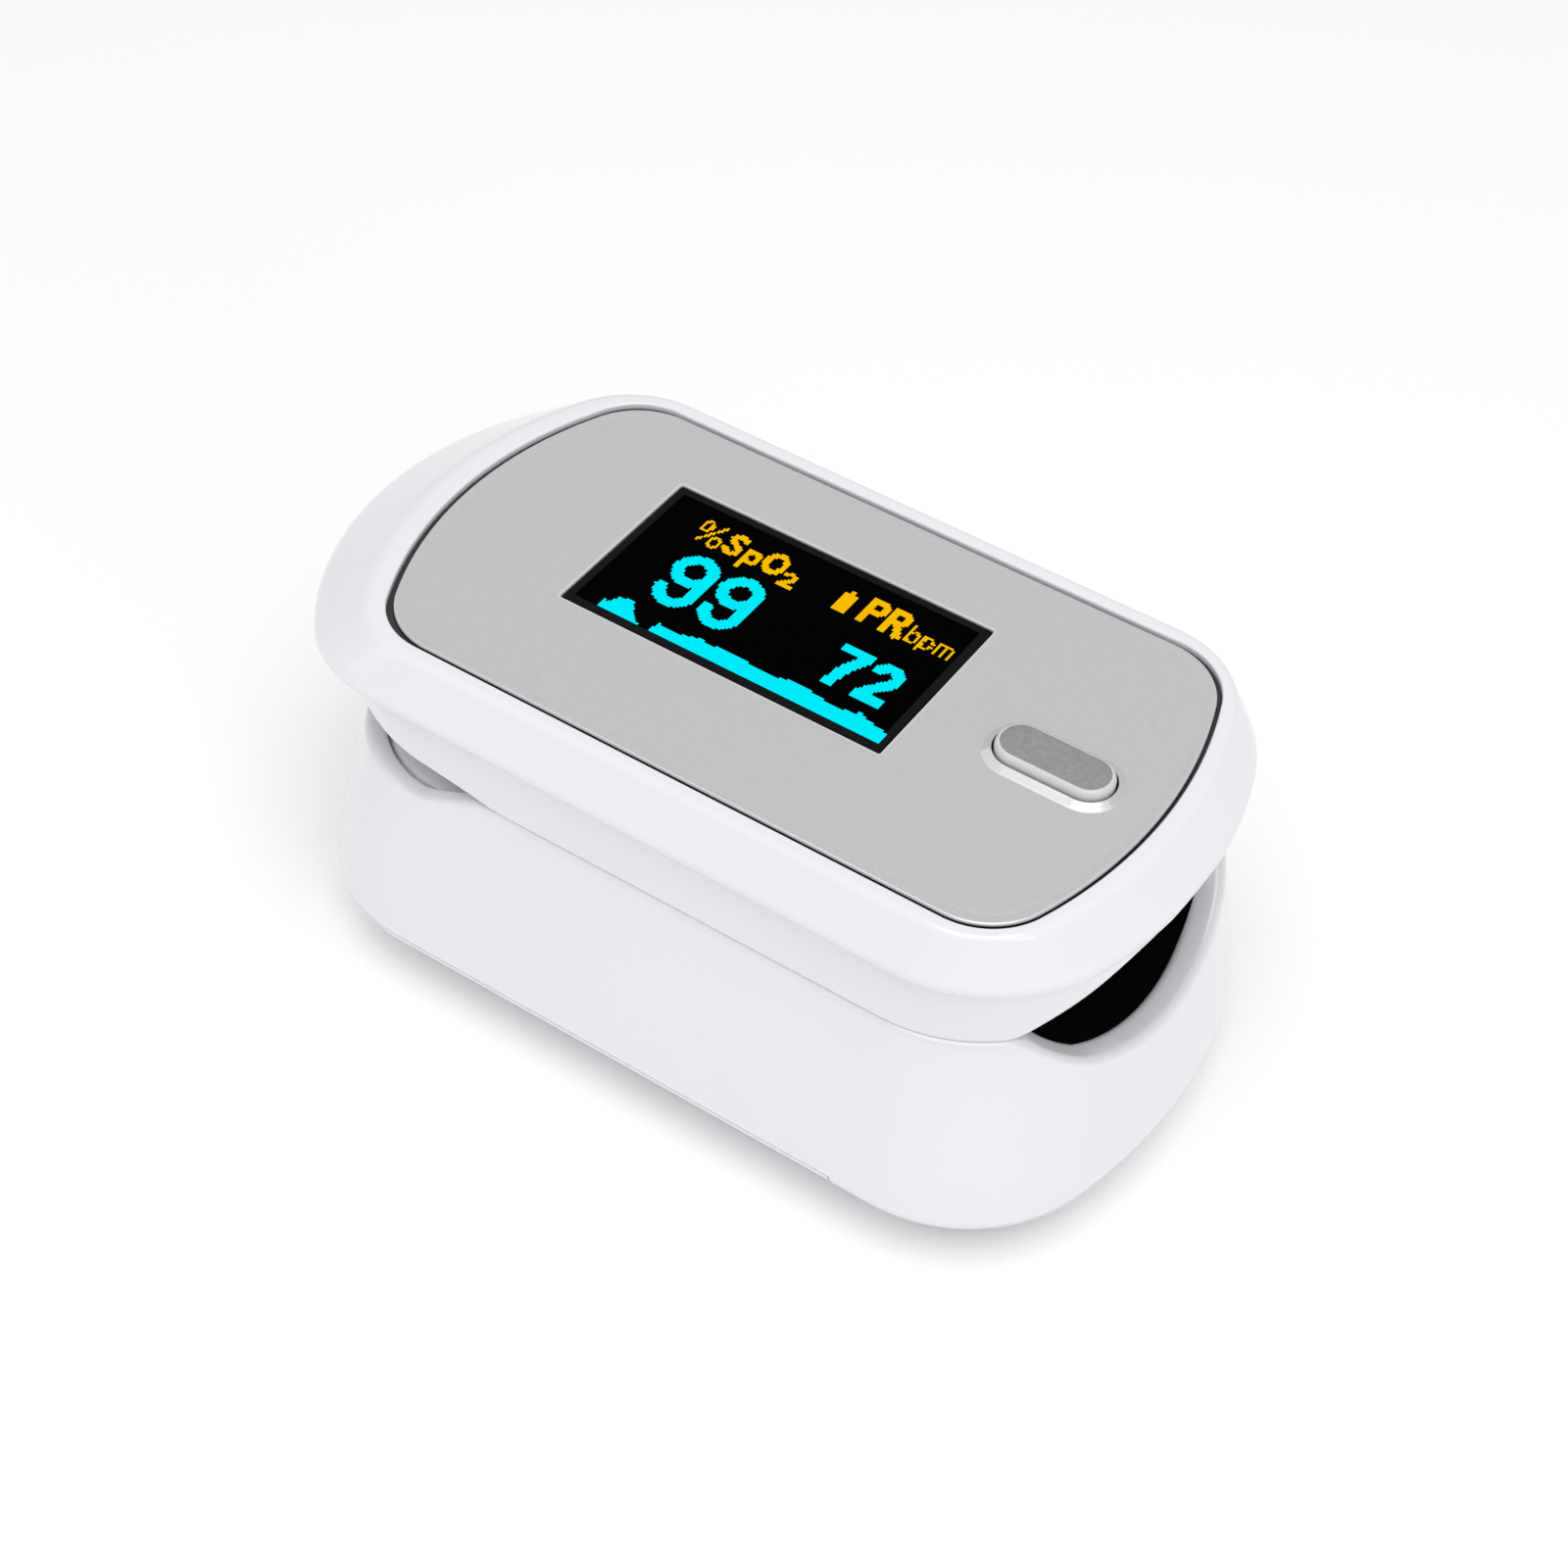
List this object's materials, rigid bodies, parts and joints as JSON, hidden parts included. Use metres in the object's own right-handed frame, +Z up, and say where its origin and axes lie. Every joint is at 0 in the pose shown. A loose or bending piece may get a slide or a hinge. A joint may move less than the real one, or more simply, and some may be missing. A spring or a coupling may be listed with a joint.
{
  "type": "fingertip pulse oximeter",
  "caption": "Fingertip pulse oximeter: two sprung jaws around a finger channel, with a display window and a power button on top and a battery bay underneath.",
  "frame": {"origin": "middle of the underside, on the surface it rests on", "axes": "+X from the hinge end to the finger mouth, +Z up, -Y the side that faces the viewer when the display is read"},
  "size_m": [0.0654, 0.037, 0.0312],
  "materials": {
    "white_gloss": "gloss white moulded plastic",
    "faceplate_silver": "satin silver",
    "window_glass": "black-backed display glass",
    "button_grey": "satin grey",
    "frame_plastic": "satin moulded plastic",
    "pad_silicone": "matte black silicone",
    "display_panel": "glass display module",
    "gasket_foam": "closed-cell foam",
    "ribbon_film": "polyimide film",
    "circuit_board": "green solder mask",
    "chip_black": "moulded epoxy",
    "switch_steel": "stamped steel",
    "emitter_clear": "tinted epoxy",
    "photodiode_dark": "dark epoxy",
    "screw_steel": "zinc-plated steel",
    "contact_nickel": "nickel-plated spring steel",
    "cell_jacket": "printed steel jacket",
    "pin_steel": "ground steel"
  },
  "bodies": {
    "lower_jaw": {"lower_case": "white_gloss", "lower_frame": "frame_plastic", "lower_finger_pad": "pad_silicone", "sensor_board": "circuit_board", "photodiode": "photodiode_dark", "battery_left": "cell_jacket", "battery_right": "cell_jacket", "battery_springs": "contact_nickel", "rear_contacts": "contact_nickel", "bridge_contact": "contact_nickel", "lower_screws": "screw_steel", "hinge_pin": "pin_steel", "left_torsion_spring": "contact_nickel", "right_torsion_spring": "contact_nickel", "flat_cable": "ribbon_film"},
    "upper_jaw": {"top_cover": "white_gloss", "faceplate": "faceplate_silver", "display_window": "window_glass", "display_gasket": "gasket_foam", "display_module": "display_panel", "display_ribbon": "ribbon_film", "main_board": "circuit_board", "board_chips": "chip_black", "switch_body": "switch_steel", "upper_frame": "white_gloss", "upper_finger_pad": "pad_silicone", "emitter_board": "circuit_board", "emitter_led": "emitter_clear", "upper_screws": "screw_steel"},
    "button": {"power_button": "button_grey", "switch_plunger": "chip_black"},
    "cover": {"battery_cover": "white_gloss"}
  },
  "joints": [
    {"name": "jaw_hinge", "type": "hinge", "parent": "lower_jaw", "child": "upper_jaw", "pos_m": [-0.012, 0, 0.0202], "axis": [0, -1, 0], "range_deg": [0, 15], "stiffness_Nm_per_rad": 0.2, "springref_deg": -28.65, "deforming": ["left_torsion_spring", "right_torsion_spring", "flat_cable"]},
    {"name": "button_press", "type": "slide", "parent": "upper_jaw", "child": "button", "axis": [0, 0, -1], "range_m": [0, 0.0003], "stiffness_N_per_m": 6000, "springref_m": -0.00005},
    {"name": "battery_cover_slide", "type": "slide", "parent": "lower_jaw", "child": "cover", "axis": [-1, 0, 0], "range_m": [0, 0.05]}
  ]
}
